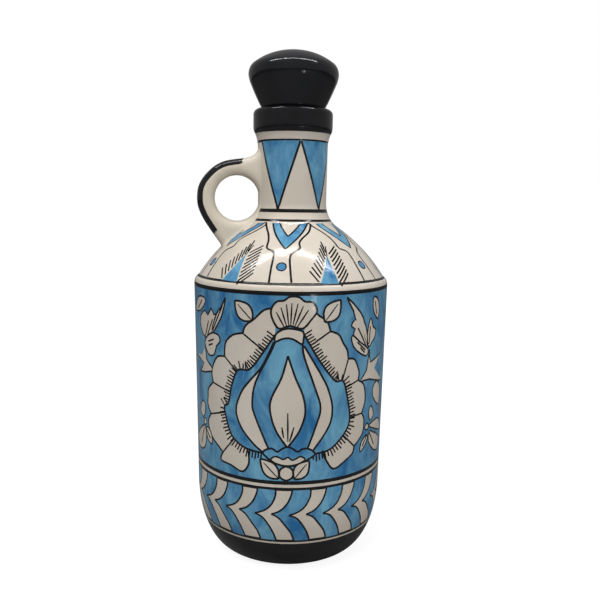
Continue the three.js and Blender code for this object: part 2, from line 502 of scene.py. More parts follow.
WREATH_INSIDE_LEFT = [
    (275.4, 334.7), (262.8, 353.0), (250.0, 369.0), (238.2, 370.0), (231.9, 385.0), (229.5, 402.0),
    (225.6, 406.0), (226.3, 415.0), (231.9, 434.7), (244.5, 447.3), (262.8, 453.0),
]
WREATH_INSIDE_RIGHT = [
    (303.5, 333.3), (318.9, 360.0), (334.0, 380.0), (342.8, 381.0), (346.3, 396.0), (349.5, 414.0),
    (347.0, 426.0), (338.6, 440.0), (327.3, 450.0), (310.5, 454.4),
]
WREATH_MIDDLE = (288.0, 400.0)
HATCH_STEP = 1.55
HATCH_LENGTH = 4.2
HATCH_LINE, NOTCH_LINE = 0.8, 0.9


def nearest(points, target):
    return min(range(len(points)), key=lambda i: math.dist(points[i], target))


def hatch(points, away_from):
    """Short strokes square to a line of points, on the side away from a middle."""
    run, due = 0.0, HATCH_STEP / 2
    for before, after in zip(points, points[1:]):
        size = math.dist(before, after)
        while size > 1e-6 and run + size >= due:
            root = mix(before, after, (due - run) / size)
            nx, ny = (before[1] - after[1]) / size, (after[0] - before[0]) / size
            if nx * (root[0] - away_from[0]) + ny * (root[1] - away_from[1]) < 0:
                nx, ny = -nx, -ny
            reach = HATCH_LENGTH * (0.88 + 0.16 * math.sin(2.4 * due))
            stroke([root, (root[0] + nx * reach, root[1] + ny * reach)], HATCH_LINE)
            due += HATCH_STEP
        run += size


def draw_wreath(scallops, inside):
    curves = [smooth(seen(scallop)) for scallop in scallops]
    inner = smooth(seen(inside), steps=8)
    outer = [point for curve in curves for point in curve[:-1]] + [curves[-1][-1]]
    fill("cream", outer + inner[::-1])
    hatch(inner, seen([WREATH_MIDDLE])[0])
    for curve in curves[1:]:
        root = inner[nearest(inner, curve[0])]
        stroke([mix(root, curve[0], k / 4) for k in range(5)], NOTCH_LINE)
    for curve in curves:
        stroke(curve)
    stroke(inner)


print("wreath of", len(WREATH_LEFT) + len(WREATH_RIGHT), "scallops")

# %% The flower inside the wreath
CRESCENT_LEFT = [
    (274.0, 341.7), (262.8, 365.6), (249.5, 381.0), (241.7, 392.0), (237.0, 409.0), (241.7, 426.0),
    (253.0, 443.0), (262.8, 452.3),
]
CRESCENT_RIGHT = [
    (304.2, 346.0), (314.7, 364.0), (321.5, 376.0), (327.3, 388.0), (332.2, 407.0), (328.7, 426.0),
    (313.3, 450.0),
]
PEAR_LEFT = [(275.4, 341.7), (269.8, 354.0), (255.8, 382.0), (252.3, 403.0), (255.8, 416.5), (270.0, 451.0)]
PEAR_RIGHT = [
    (302.8, 344.5), (304.2, 357.0), (314.7, 388.0), (320.3, 407.7), (315.4, 426.0), (306.0, 451.0),
]
DROP_LEFT = [(288.0, 355.7), (281.5, 378.0), (271.5, 398.0), (270.5, 411.0), (276.0, 430.0), (287.3, 447.3)]
DROP_RIGHT = [(288.0, 355.7), (295.5, 378.0), (303.0, 396.0), (304.9, 413.0), (299.0, 431.0), (287.3, 447.3)]
DROP_VEINS = [
    [(287.8, 413.0), (287.8, 427.0), (287.8, 441.7)],
    [(282.0, 427.0), (282.5, 432.0), (283.8, 437.5)],
    [(293.9, 427.0), (291.8, 434.0), (289.4, 441.7)],
]
SHELL = [
    (279.0, 328.5), (272.5, 318.0), (271.5, 309.0), (277.0, 301.5), (284.0, 300.5), (290.0, 296.8),
    (299.0, 297.0), (305.0, 301.5), (313.0, 302.5), (317.0, 311.0), (311.0, 320.0), (302.5, 328.5),
    (290.0, 326.0),
]
SHELL_ROOT = (290.0, 338.0)
SHELL_TIPS = [
    (276.5, 312.0), (281.0, 307.5), (286.5, 304.0), (292.0, 303.0), (298.0, 303.5), (303.5, 306.0),
    (308.5, 310.0),
]
COLLAR = [
    (277.0, 333.0), (282.5, 329.6), (288.7, 328.4), (296.0, 329.2), (303.5, 332.0), (303.5, 339.0),
    (302.0, 344.5), (295.5, 340.2), (288.7, 338.2), (281.5, 339.0), (275.4, 341.7), (275.0, 337.0),
]
CUP_BLUE = [
    (262.8, 453.0), (266.5, 449.0), (272.0, 448.4), (277.5, 451.6), (282.0, 448.4), (287.5, 447.0),
    (293.0, 448.4), (297.5, 451.6), (303.0, 448.6), (309.5, 448.8), (314.7, 453.7), (308.0, 459.5),
    (301.0, 463.5), (288.0, 466.0), (276.5, 463.5), (269.0, 459.0),
]
CUP_CREAM = [
    (270.8, 459.6), (275.0, 456.0), (279.5, 457.8), (283.5, 459.6), (287.8, 457.2), (292.0, 459.6),
    (296.5, 457.8), (300.5, 456.0), (305.0, 459.4), (298.0, 463.8), (288.0, 465.6), (278.0, 464.0),
]
VEIN_LINE, SHELL_LINE, CUP_LINE = 0.95, 0.85, 0.9
BUD = [(286.2, 466.3), (292.3, 470.0), (292.5, 476.5), (286.2, 480.3), (280.0, 476.5), (280.0, 470.0)]
BUD_LEAVES = [[(278.8, 478.6), (260.3, 458.6)], [(294.0, 479.0), (308.8, 460.2)]]
BUD_LEAF_WIDTH, CORNER_LEAF_WIDTH = 7.4, 8.4
CORNER_LEAVES = [[(252.5, 321.0), (235.4, 300.3)], [(324.5, 322.0), (340.0, 299.6)]]


def draw_flower():
    crescent_left, crescent_right = smooth(seen(CRESCENT_LEFT)), smooth(seen(CRESCENT_RIGHT))
    pear_left, pear_right = smooth(seen(PEAR_LEFT)), smooth(seen(PEAR_RIGHT))
    drop_left, drop_right = smooth(seen(DROP_LEFT)), smooth(seen(DROP_RIGHT))
    fill("cream", crescent_left + crescent_right[::-1])
    fill("blue", pear_left + pear_right[::-1])
    fill("cream", drop_left + drop_right[-2:0:-1])
    for curve in (crescent_left, crescent_right, pear_left, pear_right, drop_left, drop_right):
        stroke(curve)
    for vein in DROP_VEINS:
        stroke(seen(vein), VEIN_LINE, True)
    shape("cream", seen(SHELL))
    root = seen([SHELL_ROOT])[0]
    for tip in seen(SHELL_TIPS):
        stroke([mix(root, tip, 0.38), mix(root, tip, 0.7), tip], SHELL_LINE, True)
    shape("cream", seen(COLLAR), steps=2)
    shape("blue", seen(CUP_BLUE), steps=3)
    shape("cream", seen(CUP_CREAM), CUP_LINE, 3)
    for base, tip in BUD_LEAVES:
        leaf(*seen([base, tip]), BUD_LEAF_WIDTH)
    shape("cream", seen(BUD))
    for base, tip in CORNER_LEAVES:
        leaf(*seen([base, tip]), CORNER_LEAF_WIDTH)


def draw_medallion():
    draw_wreath(WREATH_LEFT, WREATH_INSIDE_LEFT)
    draw_wreath(WREATH_RIGHT, WREATH_INSIDE_RIGHT)
    draw_flower()


repeated(2, 0.0, draw_medallion)
print("marks with the medallions", len(marks))

# %% [markdown]
# ## Sprigs at the sides
# Between the medallions a sprig climbs each side: leaves and a bud above a star, and a
# small flower below. Both sides are read from the photograph, and the back repeats them,
# so that the two halves meet at a stem with leaves of its own.

# %% Draw the sprigs
SPRIG_RIGHT = [
    [(347.0, 297.1), (361.0, 313.0), (363.8, 322.1), (366.6, 330.5), (367.3, 345.9), (361.0, 329.1),
     (355.4, 322.1), (352.6, 310.9)],
    [(354.0, 320.0), (351.5, 326.3), (354.7, 329.1), (353.3, 336.1), (366.6, 348.1), (363.8, 336.1),
     (361.0, 324.9)],
    [(351.5, 336.8), (351.9, 343.1), (356.1, 350.2), (365.2, 356.0), (367.3, 348.8), (359.6, 341.7),
     (354.0, 336.1)],
    [(368.0, 347.3), (366.6, 336.1), (368.7, 322.1), (370.8, 317.9), (372.9, 326.3), (375.0, 329.1),
     (375.0, 336.1), (371.5, 341.7)],
    [(373.6, 296.1), (372.2, 305.3), (374.3, 313.7), (377.8, 318.6), (379.0, 308.1), (377.8, 299.6)],
    [(376.4, 380.3), (372.9, 386.6), (372.5, 396.5), (376.4, 403.5), (378.5, 402.1), (379.0, 386.6)],
    [(370.1, 405.6), (368.0, 411.9), (369.4, 420.3), (372.9, 414.7), (372.2, 407.7)],
    [(368.7, 424.5), (376.4, 417.5), (378.5, 420.3), (378.5, 428.7), (370.8, 427.3)],
    [(368.7, 430.8), (368.0, 441.4), (372.2, 449.1), (376.4, 448.4), (377.8, 435.7), (372.2, 431.5)],
    [(365.9, 434.3), (360.3, 441.4), (359.3, 451.9), (363.8, 447.0), (366.6, 438.6)],
    [(368.7, 348.7), (369.8, 362.0), (380.0, 352.0), (374.0, 368.0), (380.6, 379.5), (368.5, 379.0),
     (360.0, 381.0), (365.8, 370.0)],
]
SPRIG_LEFT = [
    [(196.8, 303.2), (198.9, 296.1), (204.6, 296.8), (205.3, 302.4), (201.0, 310.2), (196.8, 309.5)],
    [(206.0, 337.5), (201.7, 326.3), (201.0, 315.1), (205.3, 310.2), (208.1, 315.1), (211.6, 308.1),
     (214.4, 314.4), (219.3, 314.4), (217.9, 323.5), (213.0, 331.9)],
    [(226.3, 297.5), (222.1, 316.5), (213.7, 332.6), (213.0, 327.7), (217.2, 313.0), (221.4, 306.7)],
    [(205.3, 341.7), (208.1, 335.4), (213.7, 332.6), (219.3, 335.4), (220.7, 341.7), (217.2, 345.9),
     (215.1, 354.4), (210.2, 355.1), (207.4, 350.2)],
    [(202.4, 400.7), (201.0, 409.1), (203.9, 416.8), (206.0, 410.5), (205.0, 402.1)],
    [(203.2, 425.2), (198.9, 434.3), (201.0, 446.3), (205.3, 447.0), (206.7, 434.3), (205.3, 425.9)],
    [(207.4, 425.9), (211.6, 431.5), (213.4, 443.5), (208.8, 440.0), (206.9, 431.5)],
    [(205.3, 345.9), (206.7, 358.6), (210.9, 365.6), (212.3, 371.2), (201.0, 370.5), (204.6, 362.8),
     (197.5, 353.0), (202.4, 354.4)],
]
FLOWER_HEADS = [(366.6, 426.6), (205.5, 421.0)]
SPRIG_VEINS = [
    [(206.0, 336.1), (208.8, 320.7)], [(208.1, 334.7), (213.0, 319.3)], [(213.7, 330.0), (223.0, 306.0)],
    [(199.0, 308.0), (202.5, 299.5)], [(209.0, 341.0), (214.5, 339.0)], [(209.0, 345.0), (213.5, 343.5)],
    [(366.0, 346.0), (358.0, 328.0)], [(365.0, 350.0), (357.0, 342.0)], [(364.0, 352.5), (360.0, 347.5)],
    [(368.0, 344.0), (370.5, 326.0)], [(376.5, 314.0), (375.0, 301.0)], [(368.5, 432.0), (373.0, 444.0)],
    [(366.0, 435.0), (361.5, 446.0)], [(204.5, 427.0), (202.5, 442.0)], [(207.0, 428.0), (211.0, 438.0)],
]
MIDDLE_LEAVES = [
    # at the stem: base height, tip across, tip height, width
    (60.0, 10.5, 57.0, 4.6), (72.0, 11.5, 84.0, 6.0), (90.0, 8.0, 104.0, 5.6), (112.0, 9.0, 126.0, 6.2),
]


PETAL_LINE, STEM_LINE, HEAD_LINE = 0.95, 1.1, 0.85
SPRIG_VEIN_LINE = 0.9
HEAD_RADIUS = 1.7
STEM_HEIGHTS = (52.0, 70.0, 90.0, 112.0, 124.0)
TOP_LEAF = (122.0, 140.0, 6.4)  # base height, tip height, width


def draw_sprigs():
    for petal in SPRIG_RIGHT + SPRIG_LEFT:
        shape("cream", seen(petal), PETAL_LINE, 2)
    for vein in SPRIG_VEINS:
        stroke(seen(vein), SPRIG_VEIN_LINE)
    for head in seen(FLOWER_HEADS):
        shape("cream", circle(head, HEAD_RADIUS, 8), HEAD_LINE, 2)


def draw_middle_stem():
    stroke([(0.0, along_at(height)) for height in STEM_HEIGHTS], STEM_LINE)
    for base, across, height, width in MIDDLE_LEAVES:
        for side in (-1, 1):
            leaf((0.0, along_at(base)), (side * across, along_at(height)), width, veins=2)
    base, tip, width = TOP_LEAF
    leaf((0.0, along_at(base)), (0.0, along_at(tip)), width, veins=2)


repeated(2, 0.0, draw_sprigs)
repeated(2, 90 * UNIT, draw_middle_stem)
print("marks in all", len(marks))

# %% [markdown]
# ## From painting to surface
# A grid of points keeps the surface round where nothing is painted. The outlines and the
# grid are cut together, and each face keeps the colour of the uppermost mark over it.
# This is done in code, because no tool of edit mode cuts hundreds of outlines at once.

# %% Cut the painting into faces
STEP = 2.7  # longest edge in the painting, in millimetres
SIDES = 120
SEAM = 180 * UNIT
SAME_PLACE = 1e-3
LEAST_ROW_GAP = 0.35
LEAST_AREA = 1e-7
COLOURS = ["cream", "blue", "black", "clay"]
points, edges, faces, colours = [], [], [], []


def add_edge_points(start, end):
    """Adds start and the points between it and end."""
    count = max(1, math.ceil(math.dist(start, end) / STEP))
    first = len(points)
    for i in range(count):
        points.append(Vector(mix(start, end, i / count)))
    return list(range(first, first + count))


def area(loop):
    return sum(a[0] * b[1] - b[0] * a[1] for a, b in zip(loop, loop[1:] + loop[:1])) / 2


TOP = lengths[-1]
for colour, loop in marks:
    loop = [(x, min(max(y, 0.0), TOP)) for x, y in loop]
    if area(loop) < 0:
        loop = loop[::-1]
    face = []
    for start, end in zip(loop, loop[1:] + loop[:1]):
        if math.dist(start, end) > SAME_PLACE:
            face += add_edge_points(start, end)
    if len(face) > 2:
        faces.append(face)
        colours.append(COLOURS.index(colour))

rows = sorted(set([0.0, TOP] + [v for v in lengths if v > 0]))
filled = [rows[0]]
for value in rows[1:]:
    gap = value - filled[-1]
    count = max(1, math.ceil(gap / STEP))
    filled += [filled[-1] + gap * (k + 1) / count for k in range(count)]
rows = [filled[0]]
for value in filled[1:]:
    if value - rows[-1] > LEAST_ROW_GAP or value == filled[-1]:
        rows.append(value)
for side in (-SEAM, SEAM):
    column = []
    for value in rows:
        points.append(Vector((side, value)))
        column.append(len(points) - 1)
    edges += list(zip(column, column[1:]))
for value in rows:
    for i in range(1, SIDES):
        points.append(Vector((-SEAM + 2 * SEAM * i / SIDES, value)))
print("cutting", len(points), "points and", len(faces), "outlines")
cut_points, _, cut_faces, _, _, cut_marks = delaunay_2d_cdt(points, edges, faces, 0, 1e-4)
print("cut into", len(cut_faces), "faces")

# %% Wrap the painting on the jug
vertices, normals, lookup = [], [], {}
triangles, colour_of, corners_uv = [], [], []


def vertex(point, normal):
    key = tuple(round(value, 3) for value in point)
    if key not in lookup:
        lookup[key] = len(vertices)
        vertices.append(point * MM)
        normals.append(normal)
    return lookup[key]


UV_TOP = 0.86  # the painting fills the lower part of the map
flat = [tuple(p) for p in cut_points]
wrapped = {}
for face, covering in zip(cut_faces, cut_marks):
    middle = sum(flat[i][0] for i in face) / len(face)
    if abs(middle) > SEAM:
        continue
    if area([flat[i] for i in face]) < LEAST_AREA:
        continue
    corners = []
    for i in face:
        if i not in wrapped:
            x, y = flat[i]
            wrapped[i] = vertex(place(x, y), facing(x, y))
        corners.append(wrapped[i])
    if len(set(corners)) < 3:
        continue
    triangles.append(corners)
    colour_of.append(colours[max(covering)] if covering else 0)
    corners_uv.append([(0.5 + flat[i][0] / (2 * SEAM), flat[i][1] / TOP * UV_TOP) for i in face])
print("painted faces", len(triangles))

# %% [markdown]
# ## Foot and inside
# The foot is a bare clay ring round a shallow recess. The inside is glazed cream, as far
# as it can be seen through the mouth when the stopper is out.

# %% Close the shell
MOUTH_ROUNDING = 1.4
MOUTH_EDGE = (MOUTH_RADIUS + MOUTH_ROUNDING, LIP_TOP)
INSIDE = (
    [MOUTH_EDGE]
    + quarter(MOUTH_EDGE, (MOUTH_RADIUS, LIP_TOP - MOUTH_ROUNDING), False, 4)
    + [(MOUTH_RADIUS, 215.0), (MOUTH_RADIUS, 198.0), (MOUTH_RADIUS, 180.0)]
    + bow((MOUTH_RADIUS, 180.0), (14.0, 170.0), (29.0, 159.5), 8)
    + bow((29.0, 159.5), (43.0, 151.0), (BODY_RADIUS - WALL, 141.0), 6)
    + [(45.6, 90.0), (44.6, 38.0)]
    + quarter((44.6, 38.0), (27.0, 7.0), True, 8)
    + [(0.0, 7.0)]
)
UNDERSIDE = [(26.0, 0.0), (24.4, 1.6), (0.0, 1.6)]
INSIDE_UV, UNDERSIDE_UV, STRIP_UV = 0.87, 0.935, 0.06  # where the strips lie on the map


def strip(path, start, colour, inward, uv_low):
    """Rings of faces that carry on from the painted surface along a path."""
    rings = [start] + path
    spans = list(zip(rings, rings[1:]))
    for n, (a, b) in enumerate(spans):
        for i in range(SIDES):
            turns = [math.radians(-180 + 360 * k / SIDES) for k in (i, i + 1)]
            quad = []
            for radius, height, turn in ((*a, turns[0]), (*b, turns[0]), (*b, turns[1]), (*a, turns[1])):
                rise, spread = b[1] - a[1], b[0] - a[0]
                out = Vector((rise * math.sin(turn), -rise * math.cos(turn), -spread)) * inward
                point = Vector((radius * math.sin(turn), -radius * math.cos(turn), height))
                quad.append(vertex(point, out.normalized()))
            if inward > 0:
                quad.reverse()
            loop = []
            for corner in quad:
                if corner not in loop:
                    loop.append(corner)
            triangles.append(loop)
            colour_of.append(colour if n else COLOURS.index("black" if inward > 0 else "clay"))
            x0, x1 = i / SIDES, (i + 1) / SIDES
            y0, y1 = (uv_low + STRIP_UV * k / len(spans) for k in (n, n + 1))
            around = [(x0, y0), (x0, y1), (x1, y1), (x1, y0)]
            if inward > 0:
                around.reverse()
            corners_uv.append(around[:len(loop)])


strip(INSIDE, LIP_FLAT, COLOURS.index("cream"), 1, INSIDE_UV)
strip(UNDERSIDE, (FOOT_RADIUS, 0.0), COLOURS.index("clay"), -1, UNDERSIDE_UV)
jug_mesh = bpy.data.meshes.new("jug_glazed")
jug_mesh.from_pydata(vertices, [], triangles)
uv_map = jug_mesh.uv_layers.new(name="OFBake")
uv_map.data.foreach_set("uv", [v for corner in corners_uv for uv in corner for v in uv])
jug_mesh.polygons.foreach_set("material_index", colour_of)
jug_mesh.polygons.foreach_set("use_smooth", [True] * len(triangles))
jug_mesh.update()
jug = bpy.data.objects.new("jug_glazed", jug_mesh)
bpy.context.scene.collection.objects.link(jug)
print("jug faces", len(triangles))

# %% [markdown]
# ## Glazes
# Brushed oxide pools and thins under a clear glaze, so the blue is watery and the cream
# shifts from warm to grey. Both are driven by noise on Object coordinates, and one group
# gives all glazes their faint unevenness.

# %% The uneven glaze as a shared group


def rgb(red, green, blue):
    """A colour as seen on a screen, 0 to 255, as the linear values that nodes take."""
    def linear(value):
        value /= 255
        return value / 12.92 if value <= 0.04045 else ((value + 0.055) / 1.055) ** 2.4
    return (linear(red), linear(green), linear(blue), 1.0)


def new_group(name, inputs, outputs):
    group = bpy.data.node_groups.new(name, "ShaderNodeTree")
    for label, kind, value in inputs:
        socket = group.interface.new_socket(label, in_out="INPUT", socket_type=kind)
        socket.default_value = value
    for label, kind in outputs:
        group.interface.new_socket(label, in_out="OUTPUT", socket_type=kind)
    return group, group.nodes.new("NodeGroupInput"), group.nodes.new("NodeGroupOutput")


def add(tree, kind, **values):
    node = tree.nodes.new(kind)
    for key, value in values.items():
        if hasattr(node, key):
            setattr(node, key, value)
        else:
            node.inputs[key.replace("_", " ")].default_value = value
    return node


wash, wash_in, wash_out = new_group(
    "brush_wash",
    [("Thin", "NodeSocketColor", (1, 1, 1, 1)), ("Thick", "NodeSocketColor", (0, 0, 0, 1)),
     ("Scale", "NodeSocketFloat", 60.0), ("Roughness", "NodeSocketFloat", 0.14)],
    [("Color", "NodeSocketColor"), ("Roughness", "NodeSocketFloat"), ("Normal", "NodeSocketVector")],
)
where = wash.nodes.new("ShaderNodeTexCoord")
stretch = add(wash, "ShaderNodeMapping")
stretch.inputs["Scale"].default_value = (1.0, 1.0, 0.55)
strokes = add(wash, "ShaderNodeTexNoise", Detail=5.0, Roughness=0.62, Distortion=0.6)
ramp = wash.nodes.new("ShaderNodeMapRange")
ramp.inputs["From Min"].default_value = 0.34
ramp.inputs["From Max"].default_value = 0.66
colour_mix = wash.nodes.new("ShaderNodeMix")
colour_mix.data_type = "RGBA"
fine = add(wash, "ShaderNodeTexNoise", Scale=420.0, Detail=2.0)
swell = add(wash, "ShaderNodeTexNoise", Scale=38.0, Detail=1.0)
heap = wash.nodes.new("ShaderNodeMath")
heap.operation = "MULTIPLY_ADD"
heap.inputs[1].default_value = 6.0
bump = add(wash, "ShaderNodeBump", Strength=0.22, Distance=0.00035)
rough = wash.nodes.new("ShaderNodeMath")
rough.operation = "MULTIPLY_ADD"
rough.inputs[1].default_value = 0.08
link = wash.links.new
link(where.outputs["Object"], stretch.inputs["Vector"])
link(stretch.outputs["Vector"], strokes.inputs["Vector"])
link(where.outputs["Object"], fine.inputs["Vector"])
link(where.outputs["Object"], swell.inputs["Vector"])
link(wash_in.outputs["Scale"], strokes.inputs["Scale"])
link(strokes.outputs["Fac"], ramp.inputs["Value"])
link(ramp.outputs["Result"], colour_mix.inputs["Factor"])
link(wash_in.outputs["Thin"], colour_mix.inputs["A"])
link(wash_in.outputs["Thick"], colour_mix.inputs["B"])
link(colour_mix.outputs["Result"], wash_out.inputs["Color"])
link(swell.outputs["Fac"], heap.inputs[0])
link(fine.outputs["Fac"], heap.inputs[2])
link(heap.outputs["Value"], bump.inputs["Height"])
link(bump.outputs["Normal"], wash_out.inputs["Normal"])
link(fine.outputs["Fac"], rough.inputs[0])
link(wash_in.outputs["Roughness"], rough.inputs[2])
link(rough.outputs["Value"], wash_out.inputs["Roughness"])
print("group", wash.name)

# %% Make the materials


def glaze(name, thin, thick, scale, roughness, gloss=0.5):
    material = bpy.data.materials.new(name)
    material.use_nodes = True
    tree = material.node_tree
    shader = tree.nodes["Principled BSDF"]
    shader.inputs["Specular IOR Level"].default_value = gloss
    group = tree.nodes.new("ShaderNodeGroup")
    group.node_tree = wash
    group.inputs["Thin"].default_value = thin
    group.inputs["Thick"].default_value = thick
    group.inputs["Scale"].default_value = scale
    group.inputs["Roughness"].default_value = roughness
    tree.links.new(group.outputs["Color"], shader.inputs["Base Color"])
    tree.links.new(group.outputs["Roughness"], shader.inputs["Roughness"])
    tree.links.new(group.outputs["Normal"], shader.inputs["Normal"])
    return material


cream_glaze = glaze("cream_glaze", rgb(214, 205, 193), rgb(203, 193, 179), 22.0, 0.10)
blue_wash = glaze("blue_wash", rgb(112, 170, 198), rgb(34, 104, 156), 75.0, 0.10)
black_line = glaze("black_line", rgb(20, 20, 24), rgb(8, 8, 11), 90.0, 0.10)
black_glaze = glaze("black_glaze", rgb(24, 25, 29), rgb(15, 16, 19), 40.0, 0.06)
bare_clay = glaze("bare_clay", rgb(196, 172, 146), rgb(176, 150, 122), 160.0, 0.75, 0.3)
natural_cork = glaze("natural_cork", rgb(196, 152, 104), rgb(120, 82, 50), 520.0, 0.85, 0.2)
for material in (cream_glaze, blue_wash, black_line, bare_clay):
    jug_mesh.materials.append(material)
jug_mesh.normals_split_custom_set_from_vertices(normals)
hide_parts("jug_body")
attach(jug, "jug")

# %% [markdown]
# ## Finger loop
# The loop is a lug of clay with a round hole, pressed on to the neck and the shoulder and
# smoothed in with a wet finger. An outline with a hole is given its thickness, a slightly
# smaller copy of the neck is laid in it, and remeshing melts the two together, which makes
# the soft fillets. Then what lies under the jug's skin is cut away.

# %% Outline of the loop
LOOP_TURN = math.radians(6)
HOLE_MIDDLE = (29.2, 187.9)  # outward from the axis, height
HOLE_RADIUS = 11.7
HOLE_STRETCH = 1.02  # height of the hole over its width
HOLE_SIDES = 64
LOOP_WIDTH = 13.5
LOOP_ROUNDING = 3.7
LOOP_STEPS = 6  # points on the outline for each one below
LOOP_OUTSIDE = [
    (14.0, 217.0), (17.6, 214.6), (19.3, 211.4), (22.0, 209.5), (25.7, 208.6), (31.0, 207.9),
    (36.1, 206.8), (41.2, 204.1), (46.2, 199.2), (49.2, 194.0), (50.0, 188.8), (49.6, 183.6),
    (47.2, 177.7), (43.5, 171.8), (39.8, 166.6), (36.8, 162.4), (33.0, 157.0), (14.0, 157.0),
]
STRIPE_FROM, STRIPE_TO = 4, 13.6  # points of the outline between which the stripe runs
STRIPE_WIDTH = 3.2
STRIPE_SLANT = 0.6  # of its upper end
STRIPE_EDGE = 0.15  # softness, in millimetres
loop_outside = smooth(LOOP_OUTSIDE, steps=LOOP_STEPS)
hole = []
for k in range(HOLE_SIDES):
    turn = 2 * math.pi * k / HOLE_SIDES
    up = HOLE_RADIUS * HOLE_STRETCH * math.sin(turn)
    hole.append((HOLE_MIDDLE[0] + HOLE_RADIUS * math.cos(turn), HOLE_MIDDLE[1] + up))
print("loop outline", len(loop_outside), "points")

# %% Give the loop its thickness
curve = bpy.data.curves.new("loop_outline", "CURVE")
curve.dimensions = "2D"
curve.fill_mode = "BOTH"
curve.extrude = (LOOP_WIDTH / 2 - LOOP_ROUNDING) * MM
curve.bevel_depth = LOOP_ROUNDING * MM
curve.bevel_resolution = 5
curve.offset = -LOOP_ROUNDING * MM
for loop_points in (loop_outside, hole):
    spline = curve.splines.new("POLY")
    spline.points.add(len(loop_points) - 1)
    for point, (x, y) in zip(spline.points, loop_points):
        point.co = (x * MM, y * MM, 0, 1)
    spline.use_cyclic_u = True
loop = bpy.data.objects.new("finger_loop_glazed", curve)
bpy.context.scene.collection.objects.link(loop)
bpy.ops.object.select_all(action="DESELECT")
bpy.context.view_layer.objects.active = loop
loop.select_set(True)
bpy.ops.object.convert(target="MESH")
cos, sin = math.cos(LOOP_TURN), math.sin(LOOP_TURN)
loop.data.transform(Matrix(((-cos, 0, -sin, 0), (-sin, 0, cos, 0), (0, 1, 0, 0), (0, 0, 0, 1))))
print("loop before melting", len(loop.data.polygons), "faces")

# %% Melt the loop into the neck
CORE_SHRINK, CUTTER_SHRINK = 0.45, 0.25  # how far each lies under the jug's skin
CORE_LOW, CORE_HIGH, CORE_SIDES = 149.0, 222.0, 96
CUTTER_LOW, CUTTER_HIGH, CUTTER_SIDES = 142.0, 232.0, 128
VOXEL = 0.75


def turned_solid(name, shrink, low, high, sides):
    """A closed solid of the outline, that much under the jug's skin."""
    half = [(r - shrink, z) for r, z in outline if low < z < high]
    count = len(half)
    corners, sheets = [], []
    for i in range(sides):
        turn = 2 * math.pi * i / sides
        corners += [Vector((r * math.cos(turn), r * math.sin(turn), z)) * MM for r, z in half]
        for k in range(count - 1):
            a, b = i * count + k, (i + 1) % sides * count + k
            sheets.append((a, b, b + 1, a + 1))
    sheets.append([i * count for i in range(sides)][::-1])
    sheets.append([i * count + count - 1 for i in range(sides)])
    mesh = bpy.data.meshes.new(name)
    mesh.from_pydata(corners, [], sheets)
    piece = bpy.data.objects.new(name, mesh)
    bpy.context.scene.collection.objects.link(piece)
    return piece


core_piece = turned_solid("loop_core", CORE_SHRINK, CORE_LOW, CORE_HIGH, CORE_SIDES)
core_piece.select_set(True)
bpy.context.view_layer.objects.active = loop
bpy.ops.object.join()
remesh = loop.modifiers.new("melt", "REMESH")
remesh.mode = "VOXEL"
remesh.voxel_size = VOXEL * MM
remesh.use_smooth_shade = True
relax = loop.modifiers.new("relax", "SMOOTH")
relax.factor = 0.5
relax.iterations = 14
bpy.ops.object.modifier_apply(modifier="melt")
bpy.ops.object.modifier_apply(modifier="relax")
print("loop after melting", len(loop.data.polygons), "faces")

# %% Cut the neck out of the loop
cutter = turned_solid("neck_cutter", CUTTER_SHRINK, CUTTER_LOW, CUTTER_HIGH, CUTTER_SIDES)
cut = loop.modifiers.new("cut", "BOOLEAN")
cut.operation = "DIFFERENCE"
cut.solver = "EXACT"
cut.object = cutter
bpy.ops.object.modifier_apply(modifier="cut")
bpy.data.objects.remove(cutter)
bpy.ops.object.shade_smooth_by_angle(angle=math.radians(60))
print("loop", len(loop.data.polygons), "faces")

# %% Paint the loop's stripe
marks_along = [0.0]
for a, b in zip(loop_outside, loop_outside[1:]):
    marks_along.append(marks_along[-1] + math.dist(a, b))
stripe_from, stripe_to = (marks_along[int(n * LOOP_STEPS)] for n in (STRIPE_FROM, STRIPE_TO))
stripe = loop.data.attributes.new("stripe", "FLOAT", "POINT")
for v in loop.data.vertices:
    x, y, z = (value / MM for value in v.co)
    at = (-x * cos - y * sin, z)
    i = nearest(loop_outside, at)
    depth = math.dist(loop_outside[i], at)
    from_start = marks_along[i] - stripe_from - depth * STRIPE_SLANT
    stripe.data[v.index].value = min(STRIPE_WIDTH - depth, from_start, stripe_to - marks_along[i])

# %% Glaze the loop
loop_glaze = glaze("loop_glaze", rgb(222, 213, 198), rgb(212, 202, 184), 22.0, 0.10)
tree = loop_glaze.node_tree
shader = tree.nodes["Principled BSDF"]
painted = add(tree, "ShaderNodeAttribute", attribute_name="stripe")
edge = tree.nodes.new("ShaderNodeMapRange")
edge.inputs["From Min"].default_value = -STRIPE_EDGE
edge.inputs["From Max"].default_value = STRIPE_EDGE
cover = tree.nodes.new("ShaderNodeMix")
cover.data_type = "RGBA"
cover.inputs["B"].default_value = rgb(20, 20, 24)
tree.links.new(painted.outputs["Fac"], edge.inputs["Value"])
tree.links.new(edge.outputs["Result"], cover.inputs["Factor"])
tree.links.new(shader.inputs["Base Color"].links[0].from_socket, cover.inputs["A"])
tree.links.new(cover.outputs["Result"], shader.inputs["Base Color"])
loop.data.materials.clear()
loop.data.materials.append(loop_glaze)
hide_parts("finger_loop")
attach(loop, "jug")
print("stripe", round(stripe_to - stripe_from, 1), "mm long")

# %% [markdown]
# ## Stopper
# The knob is thrown and glazed black, and the cork is glued into its socket. Both are
# round, so half of the section is drawn once and spun about the axis.

# %% Spin the knob and the cork
KNOB_FOOT = 234.3
KNOB_TOP = 263.8
SPIN_STEPS = 96


